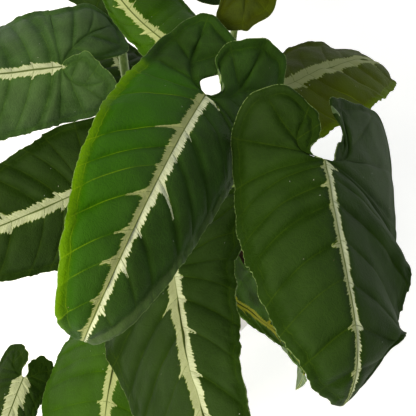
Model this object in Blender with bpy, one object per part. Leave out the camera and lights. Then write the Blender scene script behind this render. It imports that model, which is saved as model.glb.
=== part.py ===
"""Arrowhead plant: sixteen long-stalked arrowhead leaves in a plain nursery pot.

Metres, +Z up. The origin is the centre of the pot's underside.
Leaf sizes are given in millimetres and degrees and turned into metres once.
"""
import math

import bpy
import numpy as np

MM = 0.001
GAP = 0.0003

# Pot: a moulded nursery pot, radii and heights in metres
POT_HEIGHT = 0.095
RIM_RADIUS = 0.055
RIM_BAND = 0.014
RIM_STEP = 0.0025
BASE_RADIUS = 0.039
POT_WALL = 0.0018
POT_FLOOR = 0.0026
POT_SIDES = 40
DRAIN_COUNT = 6
DRAIN_CIRCLE = 0.024
DRAIN_RADIUS = 0.0035

# Soil: its mean level, the height of its crumbs and how deep a petiole stands in it
SOIL_LEVEL = 0.085
SOIL_CRUMB = 0.0012
SOIL_RINGS = 6
FOOT_DEPTH = 0.012

# Blade and petiole
BLADE_THICK = 0.0008
RIB_DEPTH = 0.0010
RIB_SHARE = 0.10
PETIOLE_FOOT = 0.0023
PETIOLE_TOP = 0.0015
PETIOLE_SIDES = 8
PETIOLE_RINGS = 9
LOBE_ROWS = 3
COLUMNS = (0.0, RIB_SHARE, 0.52, 1.0)
SHOULDER = 0.06
VEIN_SAG = 0.28
ASPECT = 0.28
LOBE_VEIN_ELBOW = (0.42, -0.12)
LOBE_VEIN_SHARE = 0.68
LOBE_VEIN_OUT = 0.11

# Half a blade's outline: x in half widths, y in blade lengths from the petiole
# to the tip, and the lobe's inner and outer edge with y in lobe lengths
MAIN_EDGE = ((1.0, SHOULDER), (0.995, 0.16), (0.945, 0.32), (0.84, 0.49), (0.66, 0.67),
             (0.43, 0.825), (0.20, 0.93), (0.06, 0.982), (0.0, 1.0))

# One half of a leaf, as it lies to the left or the right of the midrib. sinus: how
# wide the notch between the lobes is at the petiole
HALF = dict(width=34, lobe=34, fold=10, drop=20, hang=20, spread=0, neck=0.10, slim=0.0,
            sinus=1.0, wave=1.2, phase=0.0)

# A whole leaf. at: where the petiole meets the blade. aim: heading, dip and roll
# of the blade there. foot: where the petiole leaves the soil. bow: how far the
# petiole swings aside under the blade
LEAF = dict(length=110, bend=60, ease=1.5, curl=20, curl_at=0.85, swerve=0, twist=0,
            full=0.0, waves=5.0, rows=9, stalk=1.0, bow=(0, 0), right={}, left={})

LEAVES = {
    "leaf_front": dict(
        at=(7, -34, 235), aim=(-108, -27, -13), foot=(6, -10), length=137, bend=62, curl=74,
        curl_at=0.83, swerve=-6, twist=-16, full=0.10, rows=16,
        right=dict(width=29, lobe=42, fold=2, drop=3, hang=-45, neck=-0.19, slim=0.05),
        left=dict(width=29, lobe=37, fold=4, drop=50, hang=-78, spread=-5, neck=-0.08, slim=-0.18)),
    "leaf_right": dict(
        at=(51, -66, 239), aim=(-85, -3, -10), foot=(16, -7), length=105, bend=61, ease=2.8,
        curl=38, curl_at=0.74, swerve=-7, twist=-6, full=0.08, waves=2.95, rows=20,
        right=dict(width=36, lobe=13, fold=-6, drop=56, hang=-80, spread=-45, neck=0.14,
                   slim=-0.10, wave=1.6, phase=-0.28),
        left=dict(width=52, lobe=23, fold=34, drop=20, hang=-11, spread=-23, neck=0.33,
                  slim=-0.60, wave=7.2, phase=0.01)),
    "leaf_low_front": dict(
        at=(-6, -80, 179), aim=(-84, -8, 40), foot=(-6, -19), length=136, bend=24, ease=1.2,
        curl=50, curl_at=0.88, swerve=-9, twist=17, full=-0.16,
        right=dict(width=49, lobe=38, fold=4, drop=5, hang=10, spread=2, slim=-0.02),
        left=dict(width=29, lobe=37, fold=8, drop=13, hang=15, spread=15, slim=-0.21)),
    "leaf_upper_left": dict(
        at=(-53, -1, 209), aim=(185, 3, -23), foot=(-17, 1), length=111, bend=67, ease=1.4,
        twist=25, full=0.14,
        right=dict(width=39, lobe=43, fold=27, drop=16, hang=82, spread=10, neck=0.04, slim=-0.10,
                   sinus=0.3),
        left=dict(width=31, lobe=16, fold=40, drop=26, hang=2, spread=-30, neck=-0.08, slim=0.09)),
    "leaf_lower_left": dict(
        at=(-44, -41, 176), aim=(209, 0, -43), foot=(-20, -8), length=100, bend=62, ease=1.35,
        swerve=-1, twist=3, full=-0.15,
        right=dict(width=32, lobe=31, fold=19, drop=31, hang=28, spread=-2, slim=0.06),
        left=dict(width=37, fold=9, drop=24)),
    "leaf_young_bright": dict(
        at=(-8, -4, 228), aim=(135, 7, -13), foot=(-5, 5), length=80, bend=26, ease=1.6,
        swerve=35, twist=-21, full=0.08, stalk=0.85,
        right=dict(width=28, lobe=8, fold=18, drop=50, spread=16, neck=0.0, wave=0.8),
        left=dict(width=10, lobe=18, fold=14, drop=34)),
    "leaf_back_right": dict(
        at=(38, 4, 186), aim=(41, 21, -11), foot=(20, 4), length=114, bend=51, ease=1.8,
        curl=42, curl_at=0.88, swerve=-10, twist=-2,
        right=dict(width=29, lobe=15, fold=14, drop=32),
        left=dict(width=26, lobe=15, fold=2, drop=8)),
    "leaf_top": dict(
        at=(30, 44, 223), aim=(120, 6, 11), foot=(20, 18), bow=(-11, 2), length=98, bend=52,
        right=dict(width=30, lobe=16, hang=15),
        left=dict(width=20, lobe=36, fold=11, drop=3, hang=35, spread=24, neck=-0.08, slim=-0.32)),
    "leaf_bottom_bright": dict(
        at=(-32, -83, 121), aim=(-99, 17, 14), foot=(-12, -27), length=90, bend=57, ease=1.6,
        swerve=9, twist=-24, full=0.30,
        right=dict(width=38, fold=19, drop=28),
        left=dict(width=34)),
    "leaf_young_narrow": dict(
        at=(11, -72, 142), aim=(-15, 39, -10), foot=(8, -23), length=98, bend=50, ease=1.4,
        swerve=-4, twist=-11, full=-0.06, stalk=0.75,
        right=dict(width=6.5, lobe=10, fold=1, drop=3, wave=0.5),
        left=dict(width=36, lobe=9, fold=6, wave=0.8)),
    "leaf_corner": dict(
        at=(-80, -88, 80), aim=(-108, 8, 4), foot=(-22, -20), bow=(10, -20), length=78, bend=50,
        full=-0.25,
        right=dict(width=22, lobe=16, fold=12, drop=40, sinus=0.55, neck=0.03),
        left=dict(width=15, lobe=13, fold=12, drop=45, sinus=0.55, neck=0.03)),
    "leaf_under_left": dict(
        at=(-30, 50, 122), aim=(110, 10, 0), foot=(-15, 8), length=60, bend=40,
        right=dict(width=19, lobe=10),
        left=dict(width=19, lobe=10)),
    "leaf_back_left": dict(
        at=(-34, 87, 182), aim=(134, 12, -10), foot=(-27, 14), bow=(-15, 0), stalk=1.25, length=105,
        right=dict(width=28, hang=25),
        left=dict(width=33, hang=25)),
    "leaf_back": dict(
        at=(-8, 110, 152), aim=(82, 10, 0), foot=(-2, 23), length=110, bend=70, ease=1.6,
        right=dict(width=36, lobe=26),
        left=dict(width=36, lobe=26)),
    "leaf_far_right": dict(
        at=(50, 38, 126), aim=(36, 8, 0), foot=(28, 12), length=70, bend=55,
        right=dict(width=18, lobe=14),
        left=dict(width=18, lobe=14)),
    "leaf_under_right": dict(
        at=(66, -28, 132), aim=(-45, 55, 0), foot=(25, -12), length=66, bend=40, stalk=0.85,
        right=dict(width=22, lobe=18, wave=0.8),
        left=dict(width=22, lobe=18, wave=0.8)),
}

COLOURS = {
    "leaf_dark": ((0.030, 0.085, 0.022), 0.55),
    "leaf_bright": ((0.080, 0.200, 0.020), 0.50),
    "soil": ((0.030, 0.018, 0.011), 0.95),
    "pot": ((0.780, 0.770, 0.740), 0.45),
}
BRIGHT = ("leaf_young_bright", "leaf_bottom_bright", "leaf_young_narrow")


def material(name):
    """Principled material of one finish."""
    if name in bpy.data.materials:
        return bpy.data.materials[name]
    made = bpy.data.materials.new(name)
    made.use_nodes = True
    shader = made.node_tree.nodes["Principled BSDF"]
    colour, rough = COLOURS[name]
    shader.inputs["Base Color"].default_value = (*colour, 1.0)
    shader.inputs["Roughness"].default_value = rough
    return made


def mesh_object(name, points, faces, finish):
    """Object from points and faces, smooth with sharp edges kept."""
    mesh = bpy.data.meshes.new(name)
    mesh.from_pydata([tuple(map(float, p)) for p in points], [], [tuple(map(int, f)) for f in faces])
    mesh.materials.append(material(finish))
    mesh.shade_smooth()
    mesh.set_sharp_from_angle(angle=math.radians(40))
    made = bpy.data.objects.new(name, mesh)
    bpy.context.scene.collection.objects.link(made)
    return made


def combine(target, others, operation, solver="EXACT"):
    """Unite the others with the target or cut them from it, then drop them."""
    group = bpy.data.collections.new(target.name + "_parts")
    bpy.context.scene.collection.children.link(group)
    for other in others:
        group.objects.link(other)
    modifier = target.modifiers.new("combine", "BOOLEAN")
    modifier.operation = operation
    modifier.operand_type = "COLLECTION"
    modifier.collection = group
    modifier.solver = solver
    graph = bpy.context.evaluated_depsgraph_get()
    made = bpy.data.meshes.new_from_object(target.evaluated_get(graph))
    target.modifiers.clear()
    target.data = made
    for other in others:
        bpy.data.objects.remove(other)
    bpy.data.collections.remove(group)


def rad(degrees):
    return math.radians(degrees)


def unit(v):
    return v / (np.linalg.norm(v, axis=-1, keepdims=True) + 1e-12)


def spline(points, count, before=None, after=None):
    """Smooth curve through the points, read at even steps along its length."""
    first = 2 * points[0] - points[1] if before is None else before
    last = 2 * points[-1] - points[-2] if after is None else after
    knots = np.vstack([first, points, last])
    out = []
    t = np.linspace(0, 1, 13)[:-1, None]
    for i in range(1, len(knots) - 2):
        a, b, c, d = knots[i - 1:i + 3]
        out.append(0.5 * (2 * b + (c - a) * t + (2 * a - 5 * b + 4 * c - d) * t ** 2
                          + (3 * b - a - 3 * c + d) * t ** 3))
    out = np.vstack(out + [points[-1:]])
    run = np.r_[0, np.cumsum(np.linalg.norm(np.diff(out, axis=0), axis=1))]
    want = np.linspace(0, run[-1], count)
    return np.stack([np.interp(want, run, out[:, k]) for k in range(out.shape[1])], 1)


def half_outline(leaf, half):
    """Flat edge points of one half, and the point on a main vein each row starts from."""
    width = half["width"] * MM
    lobe = half["lobe"] * MM
    length = leaf["length"] * MM
    neck, slim, spread = half["neck"], half["slim"], rad(half["spread"])
    notch = half["sinus"]
    inner = np.array([(0, 0), (0.11 * notch, -0.07), (0.165 * notch, -0.27), (neck, -0.52),
                      (neck + 0.07, -0.78), (0.36, -0.965), (0.52, -1.0)])
    outer = np.array([(0.52, -1.0), (0.72 - slim, -0.93), (0.90 - slim, -0.66),
                      (0.985 - slim * 0.4, -0.32), (1.0, SHOULDER * length / lobe)])
    t = np.linspace(0, 1, LOBE_ROWS + 1)[:, None]

    def swing(flat):
        """Turn lobe points about the petiole, more towards the lobe's end."""
        turn = spread * np.clip(-flat[:, 1], 0, 1)
        x = flat[:, 0] * width
        y = flat[:, 1] * lobe
        return np.stack([x * np.cos(turn) - y * np.sin(turn), x * np.sin(turn) + y * np.cos(turn)], 1)

    share = spline(np.array(MAIN_EDGE) * (ASPECT, 1), leaf["rows"] + 1) / (ASPECT, 1)
    full = 1 + leaf["full"] * np.sin(np.pi * share[:, 1])
    edge_main = np.stack([share[:, 0] * full * width, share[:, 1] * length], 1)
    inner, outer, elbow = swing(inner), swing(outer), swing(np.array([LOBE_VEIN_ELBOW]))
    vein_end = LOBE_VEIN_SHARE * inner[-1] + [LOBE_VEIN_OUT * width, 0]
    vein = 2 * t * (1 - t) * elbow + t ** 2 * vein_end
    edge_in = spline(inner, LOBE_ROWS + 1, after=outer[1])
    edge_out = spline(outer, LOBE_ROWS + 1, before=inner[-2], after=edge_main[1])
    along = np.clip((share[1:, 1] - SHOULDER) / (1 - SHOULDER), 0, 1)
    foot = np.stack([0 * along, length * along ** 1.6], 1)
    return (np.vstack([edge_in, edge_out[1:], edge_main[1:]]),
            np.vstack([vein, vein[::-1][1:], foot]))


def axes(leaf):
    """Base point of the blade with its forward, right and up directions."""
    heading, dip, roll = [rad(a) for a in leaf["aim"]]
    forward = np.array([math.cos(heading) * math.cos(dip), math.sin(heading) * math.cos(dip),
                        -math.sin(dip)])
    right = np.array([math.sin(heading), -math.cos(heading), 0.0])
    up = np.cross(right, forward)
    rolled = right * math.cos(roll) - up * math.sin(roll)
    return np.array(leaf["at"]) * MM, forward, rolled, up * math.cos(roll) + right * math.sin(roll)


def midrib(leaf, steps=160):
    """Distances along the midrib, its points, and its right and up directions."""
    base, forward, right, up = axes(leaf)
    run = np.linspace(0, leaf["length"] * MM, steps)
    q = run / run[-1]
    tip = np.clip((q - leaf["curl_at"] + 0.14) / 0.28, 0, 1)
    bend = rad(leaf["bend"]) * q ** leaf["ease"] + rad(leaf["curl"]) * tip ** 2 * (3 - 2 * tip)
    side = rad(leaf["swerve"]) * q
    twist = rad(leaf["twist"]) * q[:, None]
    ahead = ((np.cos(bend) * np.cos(side))[:, None] * forward
             + (np.cos(bend) * np.sin(side))[:, None] * right - np.sin(bend)[:, None] * up)
    over = np.sin(bend)[:, None] * forward + np.cos(bend)[:, None] * up
    across = unit(np.cross(ahead, over))
    over = np.cross(across, ahead)
    points = base + np.vstack([np.zeros(3), np.cumsum((ahead[1:] + ahead[:-1]) / 2 * run[1], axis=0)])
    return (run, points, across * np.cos(twist) - over * np.sin(twist),
            over * np.cos(twist) + across * np.sin(twist))


def lobe_axis(leaf, half, steps=60):
    """The same for the lobes, which run back from the petiole and bend down or up."""
    base, forward, right, up = axes(leaf)
    run = np.linspace(0, 0.1, steps)
    bend = (rad(half["hang"]) * run / 0.06)[:, None]
    back = -np.cos(bend) * forward - np.sin(bend) * up
    points = base + np.vstack([np.zeros(3), np.cumsum((back[1:] + back[:-1]) / 2 * run[1], axis=0)])
    return run, points, np.repeat(right[None], steps, 0), np.cos(bend) * up - np.sin(bend) * forward


def lay(leaf, half, side, x, y, u, v):
    """Bend flat blade points into space. u runs round the edge, v from vein to edge."""
    front = midrib(leaf)
    back = lobe_axis(leaf, half)

    def read(which):
        ahead = np.stack([np.interp(y, front[0], front[which][:, k]) for k in range(3)], -1)
        behind = np.stack([np.interp(-y, back[0], back[which][:, k]) for k in range(3)], -1)
        return np.where((y < 0)[..., None], behind, ahead)

    fold = rad(half["fold"])
    curve = rad(half["drop"]) / (half["width"] * MM)
    across = (np.sin(fold + curve * x) - np.sin(fold)) / curve
    down = (np.cos(fold) - np.cos(fold + curve * x)) / curve
    ends = np.clip((u - 0.2) * 6, 0, 1) * np.clip((1 - u) * 2.5, 0, 1)
    ripple = np.sin(2 * np.pi * (leaf["waves"] * u + half["phase"]))
    down = down - half["wave"] * MM * v ** 2.2 * ripple * ends
    return read(1) + side * read(2) * across[..., None] - read(3) * down[..., None]


def blade_sheet(leaf):
    """Top sheet of the blade: points, triangles and each point's rib depth."""
    points, faces, ribs = [], [], []
    start = 0
    width = len(COLUMNS)
    v = np.array(COLUMNS)[None, :]
    for side, key in ((1, "right"), (-1, "left")):
        half = {**HALF, **leaf[key]}
        edge, foot = half_outline(leaf, half)
        rows = len(edge)
        flat = foot[:, None] + (edge - foot)[:, None] * v[..., None]
        reach = np.linalg.norm(edge - foot, axis=1)[:, None]
        beyond_lobe = np.arange(rows)[:, None] >= 2 * LOBE_ROWS
        arched = beyond_lobe * np.clip(edge[:, :1] / (0.3 * half["width"] * MM), 0, 1)
        flat[..., 1] -= arched * VEIN_SAG * v * (1 - v) * reach
        u = np.repeat(np.linspace(0, 1, rows)[:, None], width, 1)
        laid = lay(leaf, half, side, flat[..., 0], flat[..., 1], u, np.repeat(v, rows, 0))
        points.append(laid.reshape(-1, 3))
        fade = np.clip(1 - np.linalg.norm(foot, axis=1) / (leaf["length"] * MM), 0, 1)
        ribs.append((fade[:, None] * (v == 0)).reshape(-1))
        for i in range(rows - 1):
            for j in range(width - 1):
                a = start + i * width + j
                quad = [a, a + 1, a + width + 1, a + width]
                if side < 0:
                    quad.reverse()
                faces.append(quad[:3])
                faces.append([quad[0], quad[2], quad[3]])
        start += rows * width
    return weld(np.vstack(points), np.array(faces), np.concatenate(ribs))


def weld(points, faces, ribs):
    """Merge the points that the two halves and the vein rows share."""
    key = np.round(points / 1e-6).astype(np.int64)
    _, first, index = np.unique(key, axis=0, return_index=True, return_inverse=True)
    faces = index.reshape(-1)[faces]
    whole = (faces[:, 0] != faces[:, 1]) & (faces[:, 1] != faces[:, 2]) & (faces[:, 0] != faces[:, 2])
    return points[first], faces[whole], ribs[first]


def blade(name, leaf, finish):
    """Closed blade: the same triangles on top and beneath, joined round the edge."""
    points, faces, ribs = blade_sheet(leaf)
    normal = np.zeros_like(points)
    corner = np.cross(points[faces[:, 1]] - points[faces[:, 0]], points[faces[:, 2]] - points[faces[:, 0]])
    for k in range(3):
        np.add.at(normal, faces[:, k], corner)
    normal = unit(normal)
    count = len(points)
    half_edges = {(f[i], f[(i + 1) % 3]) for f in faces.tolist() for i in range(3)}
    rim = [(a, b) for a, b in sorted(half_edges) if (b, a) not in half_edges]
    walls = [t for a, b in rim for t in ((b, a, a + count), (b, a + count, b + count))]
    top = points + normal * BLADE_THICK / 2
    beneath = points - normal * (BLADE_THICK / 2 + ribs[:, None] * RIB_DEPTH)
    every = np.vstack([faces, faces[:, ::-1] + count, np.array(walls)])
    return mesh_object(name, np.vstack([top, beneath]), every, finish)


def petiole_path(leaf):
    """Petiole's centre line: straight out of the soil, then arching up to the blade."""
    base, forward, right, up = axes(leaf)
    end = base + forward * 0.0022
    foot = np.array([*np.array(leaf["foot"]) * MM, SOIL_LEVEL - FOOT_DEPTH])
    start = foot + [0, 0, FOOT_DEPTH + 0.003]
    reach = np.linalg.norm(end - start)
    lean = start + [0, 0, 0.45 * reach]
    under = end - up * 0.30 * reach + [*np.array(leaf["bow"]) * MM, 0]
    t = np.linspace(0, 1, PETIOLE_RINGS)[:, None]
    arch = (1 - t) ** 3 * start + 3 * t * (1 - t) ** 2 * lean + 3 * t ** 2 * (1 - t) * under + t ** 3 * end
    return np.vstack([foot, arch])


def petiole(name, leaf, finish):
    """Tapered round stalk, closed at both ends."""
    path = petiole_path(leaf)
    ahead = unit(np.gradient(path, axis=0))
    ahead[0] = (0, 0, 1)
    ahead[1] = (0, 0, 1)
    side = np.array([1.0, 0.0, 0.0])
    run = np.r_[0, 0, np.linspace(0, 1, len(path) - 1)[1:]]
    points = []
    turn = np.linspace(0, 2 * np.pi, PETIOLE_SIDES, endpoint=False)[:, None]
    for centre, along, share in zip(path, ahead, run):
        side = unit(side - along * (side @ along))
        radius = leaf["stalk"] * (PETIOLE_FOOT + (PETIOLE_TOP - PETIOLE_FOOT) * share)
        points.append(centre + radius * (np.cos(turn) * side + np.sin(turn) * np.cross(along, side)))
    faces = []
    for i in range(len(path) - 1):
        for j in range(PETIOLE_SIDES):
            a = i * PETIOLE_SIDES + j
            b = i * PETIOLE_SIDES + (j + 1) % PETIOLE_SIDES
            faces.append((a, b, b + PETIOLE_SIDES, a + PETIOLE_SIDES))
    last = (len(path) - 1) * PETIOLE_SIDES
    faces.append(tuple(reversed(range(PETIOLE_SIDES))))
    faces.append(tuple(range(last, last + PETIOLE_SIDES)))
    return mesh_object(name, np.vstack(points), faces, finish)


def make_leaf(name, given):
    """One leaf in one solid: blade, midrib and petiole."""
    leaf = {**LEAF, **given}
    finish = "leaf_bright" if name in BRIGHT else "leaf_dark"
    made = blade(name, leaf, finish)
    combine(made, [petiole(name + "_petiole", leaf, finish)], "UNION")
    return made


def turned(name, profile, sides, finish):
    """Solid of revolution from (radius, height) points that start and end on the axis."""
    points, faces, rings = [], [], []
    for radius, height in profile:
        if radius == 0:
            rings.append([len(points)])
            points.append((0, 0, height))
            continue
        rings.append(list(range(len(points), len(points) + sides)))
        for k in range(sides):
            a = 2 * math.pi * k / sides
            points.append((radius * math.cos(a), radius * math.sin(a), height))
    for low, high in zip(rings[:-1], rings[1:]):
        for k in range(sides):
            n = (k + 1) % sides
            ring = [low[k % len(low)], low[n % len(low)], high[n % len(high)], high[k % len(high)]]
            faces.append([p for i, p in enumerate(ring) if p not in ring[:i]])
    return mesh_object(name, points, faces, finish)


def prism(name, centre, radius, bottom, top, sides):
    """Upright cutter with the same corner directions as a petiole's foot."""
    ring = [(centre[0] + radius * math.cos(2 * math.pi * k / sides),
             centre[1] + radius * math.sin(2 * math.pi * k / sides)) for k in range(sides)]
    points = [(x, y, bottom) for x, y in ring] + [(x, y, top) for x, y in ring]
    faces = [(k, (k + 1) % sides, (k + 1) % sides + sides, k + sides) for k in range(sides)]
    faces += [tuple(reversed(range(sides))), tuple(range(sides, 2 * sides))]
    made = mesh_object(name, points, faces, "soil")
    made.hide_render = True
    made.display_type = "WIRE"
    return made


def inner_radius(height):
    """Radius of the pot's inner wall at a height."""
    step = POT_HEIGHT - RIM_BAND
    low = BASE_RADIUS - POT_WALL
    high = RIM_RADIUS - RIM_STEP - POT_WALL
    return low + (high - low) * (height - POT_FLOOR) / (step - POT_FLOOR)


def make_pot():
    """Tapered wall, turned-out rim band, flat underside with drainage holes off the middle."""
    step = POT_HEIGHT - RIM_BAND
    lip = 0.0008
    profile = [
        (0, 0), (BASE_RADIUS - 0.0012, 0), (BASE_RADIUS, 0.0012),
        (RIM_RADIUS - RIM_STEP, step), (RIM_RADIUS - lip, step), (RIM_RADIUS, step + lip),
        (RIM_RADIUS, POT_HEIGHT - lip), (RIM_RADIUS - lip, POT_HEIGHT),
        (RIM_RADIUS - POT_WALL, POT_HEIGHT), (RIM_RADIUS - POT_WALL - lip, POT_HEIGHT - lip),
        (RIM_RADIUS - POT_WALL - lip, step + 0.002),
        (inner_radius(step), step), (inner_radius(POT_FLOOR + 0.001), POT_FLOOR + 0.001),
        (inner_radius(POT_FLOOR) - 0.001, POT_FLOOR), (0, POT_FLOOR)]
    pot = turned("pot", profile, POT_SIDES, "pot")
    holes = []
    for k in range(DRAIN_COUNT):
        a = 2 * math.pi * (k + 0.41) / DRAIN_COUNT
        centre = (DRAIN_CIRCLE * math.cos(a), DRAIN_CIRCLE * math.sin(a))
        holes.append(prism(f"drain_{k}", centre, DRAIN_RADIUS, -0.002, POT_FLOOR + 0.002, 12))
    combine(pot, holes, "DIFFERENCE")
    return pot


def make_soil():
    """Plug of soil 0.3 mm clear of the pot, with a plain hole for each petiole."""
    bottom = POT_FLOOR + GAP
    shoulder = POT_HEIGHT - RIM_BAND
    chamfer = 0.0015
    profile = [(0, bottom), (inner_radius(bottom) - GAP - chamfer, bottom),
               (inner_radius(bottom + chamfer) - 1.1 * GAP, bottom + chamfer),
               (inner_radius(shoulder) - 1.1 * GAP, shoulder),
               (inner_radius(shoulder) - 1.1 * GAP, SOIL_LEVEL - 0.001)]
    edge = profile[-1][0] - 0.001
    for k in range(SOIL_RINGS):
        profile.append((edge * (1 - k / SOIL_RINGS), SOIL_LEVEL + 0.0012 * k / SOIL_RINGS))
    profile.append((0, SOIL_LEVEL + 0.0012))
    soil = turned("soil", profile, POT_SIDES, "soil")
    rng = np.random.default_rng(11)
    for vertex in soil.data.vertices:
        if vertex.co.z > SOIL_LEVEL - 0.0005:
            vertex.co.z += SOIL_CRUMB * rng.uniform(-1, 1)
    holes = []
    for name, given in LEAVES.items():
        leaf = {**LEAF, **given}
        centre = [value * MM for value in leaf["foot"]]
        radius = leaf["stalk"] * PETIOLE_FOOT + 1.15 * GAP
        depth = SOIL_LEVEL - FOOT_DEPTH - GAP
        holes.append(prism(name + "_hole", centre, radius, depth, SOIL_LEVEL + 0.01, PETIOLE_SIDES))
    combine(soil, holes, "DIFFERENCE", "MANIFOLD")
    return soil


for existing in list(bpy.data.objects):
    bpy.data.objects.remove(existing)
make_pot()
make_soil()
for leaf_name, leaf_given in LEAVES.items():
    make_leaf(leaf_name, leaf_given)
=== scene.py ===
import math

import bpy
import numpy as np
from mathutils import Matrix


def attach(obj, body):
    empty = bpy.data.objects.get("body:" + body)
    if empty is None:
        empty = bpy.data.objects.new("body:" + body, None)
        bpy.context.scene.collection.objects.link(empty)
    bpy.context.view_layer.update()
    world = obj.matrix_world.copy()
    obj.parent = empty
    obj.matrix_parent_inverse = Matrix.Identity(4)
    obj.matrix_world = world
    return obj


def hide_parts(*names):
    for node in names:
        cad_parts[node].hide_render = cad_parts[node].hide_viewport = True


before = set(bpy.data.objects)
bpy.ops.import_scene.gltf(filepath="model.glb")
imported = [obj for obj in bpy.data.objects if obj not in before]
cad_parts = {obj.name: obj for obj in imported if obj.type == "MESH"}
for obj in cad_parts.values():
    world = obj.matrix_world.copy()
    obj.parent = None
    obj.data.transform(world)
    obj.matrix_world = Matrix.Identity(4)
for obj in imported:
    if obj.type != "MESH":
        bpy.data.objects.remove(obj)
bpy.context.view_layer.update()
MM = 0.001

# Pot. The real one is a nursery pot, injection moulded in off-white polypropylene
# with a tapered wall and a turned-out rim. It stands by its own weight, and the
# soil plug drops into it.


def linear(text):
    """Linear colour with alpha from an sRGB hex value."""
    parts = [int(text[i:i + 2], 16) / 255 for i in (1, 3, 5)]
    return [c / 12.92 if c <= 0.04045 else ((c + 0.055) / 1.055) ** 2.4 for c in parts] + [1.0]


def node(tree, kind, *feeds, **settings):
    """Add a node, or set up one that is there. Feeds go into its inputs in order. Settings are
    its own, or name an input. An input takes a value, a hex colour, another node's output, or
    that node itself, which means its first output in use."""
    made = tree.nodes.new(kind) if isinstance(kind, str) else kind
    inputs = dict(enumerate(feeds))
    for name, value in settings.items():
        if hasattr(made, name):
            setattr(made, name, value)
        else:
            inputs[name.replace("_", " ")] = value
    for own, value in inputs.items():
        if isinstance(value, bpy.types.Node):
            value = next(out for out in value.outputs if out.enabled)
        if isinstance(value, bpy.types.NodeSocket):
            tree.links.new(value, made.inputs[own])
        else:
            made.inputs[own].default_value = linear(value) if isinstance(value, str) else value
    return made


def finish_start(name):
    """New material with its tree and its Principled shader."""
    made = bpy.data.materials.new(name)
    made.use_nodes = True
    return made, made.node_tree, made.node_tree.nodes["Principled BSDF"]


def mesh_piece(name, points, faces, finishes, smooth_angle=40):
    """Object from points and faces, with its materials and smooth shading."""
    mesh = bpy.data.meshes.new(name)
    mesh.from_pydata(np.asarray(points).tolist(), [], [list(map(int, f)) for f in faces])
    for finish in finishes:
        mesh.materials.append(finish)
    mesh.shade_smooth()
    mesh.set_sharp_from_angle(angle=math.radians(smooth_angle))
    made = bpy.data.objects.new(name, mesh)
    bpy.context.scene.collection.objects.link(made)
    return made


def moulded_polypropylene():
    """Moulded polypropylene: matte, with faint cloudy flow and a fine spark-eroded grain."""
    made, tree, shader = finish_start("moulded_polypropylene")
    place = node(tree, "ShaderNodeTexCoord").outputs["Object"]
    flow = node(tree, "ShaderNodeTexNoise", place, Scale=35.0, Detail=3.0)
    grain = node(tree, "ShaderNodeTexNoise", place, Scale=1400.0, Detail=1.0)
    tint = node(tree, "ShaderNodeMix", flow, data_type="RGBA", A="#DCD9D1", B="#E8E5DE")
    rough = node(tree, "ShaderNodeMapRange", flow, To_Min=0.42, To_Max=0.56)
    bump = node(tree, "ShaderNodeBump", Height=grain, Strength=0.25, Distance=0.00015)
    node(tree, shader, Base_Color=tint, Roughness=rough, Normal=bump)
    return made


POT_HEIGHT = 0.095
RIM_RADIUS = 0.055
RIM_BAND = 0.014
RIM_STEP = 0.0025
RIM_LEAN = 0.0008
RIM_LEDGE = 0.002
BASE_RADIUS = 0.039
POT_WALL = 0.0018
POT_FLOOR = 0.0026
POT_CORNER = 0.0009
POT_SIDES = 144


def inner_radius(height):
    """Radius of the pot's inner wall at a height."""
    low = BASE_RADIUS - POT_WALL
    high = RIM_RADIUS - RIM_STEP - POT_WALL
    return low + (high - low) * (height - POT_FLOOR) / (POT_HEIGHT - RIM_BAND - POT_FLOOR)


def rounded(profile, radius, steps=5):
    """Profile with each inner corner replaced by a small arc-like curve."""
    profile = [np.array(p, float) for p in profile]
    out = [profile[0]]
    for before, corner, after in zip(profile[:-2], profile[1:-1], profile[2:]):
        back, ahead = before - corner, after - corner
        cut = min(radius, 0.45 * np.linalg.norm(back), 0.45 * np.linalg.norm(ahead))
        start = corner + back / np.linalg.norm(back) * cut
        end = corner + ahead / np.linalg.norm(ahead) * cut
        for t in np.linspace(0, 1, steps):
            out.append((1 - t) ** 2 * start + 2 * t * (1 - t) * corner + t * t * end)
    return out + [profile[-1]]


def turned(name, profile, sides, finishes):
    """Solid of revolution from (radius, height) points that start and end on the axis."""
    points, faces, rings = [], [], []
    for radius, height in profile:
        if radius < 1e-7:
            rings.append([len(points)])
            points.append((0, 0, height))
            continue
        rings.append(list(range(len(points), len(points) + sides)))
        for k in range(sides):
            a = 2 * math.pi * k / sides
            points.append((radius * math.cos(a), radius * math.sin(a), height))
    for low, high in zip(rings[:-1], rings[1:]):
        for k in range(sides):
            n = (k + 1) % sides
            ring = [low[k % len(low)], low[n % len(low)], high[n % len(high)], high[k % len(high)]]
            faces.append([p for i, p in enumerate(ring) if p not in ring[:i]])
    return mesh_piece(name, points, faces, finishes)


step = POT_HEIGHT - RIM_BAND
inner_rim = RIM_RADIUS - POT_WALL
pot = turned("nursery_pot", rounded([
    (0, 0), (BASE_RADIUS, 0), (RIM_RADIUS - RIM_STEP, step), (RIM_RADIUS, step),
    (RIM_RADIUS, POT_HEIGHT), (inner_rim, POT_HEIGHT), (inner_rim - RIM_LEAN, step + RIM_LEDGE),
    (inner_radius(step), step), (inner_radius(POT_FLOOR), POT_FLOOR), (0, POT_FLOOR)],
    POT_CORNER), POT_SIDES, [moulded_polypropylene()])
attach(pot, "root")
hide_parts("pot")

# Soil. Dark peat-based potting mix with bark crumbs and a few white perlite
# grains, lightly pressed round the stalks. It fills the pot to a finger's width
# below the rim.

SOIL_LEVEL = 0.085
SOIL_RINGS = 34
SOIL_SIDES = 120
SOIL_GAP = 0.0004
SOIL_LIFT = 0.0003
SOIL_CORNER = 0.0018
SOIL_EDGE = 0.0006
SOIL_CROWN = 0.0012
SOIL_SWELL = 0.0016
SOIL_LUMP = 0.006


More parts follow.
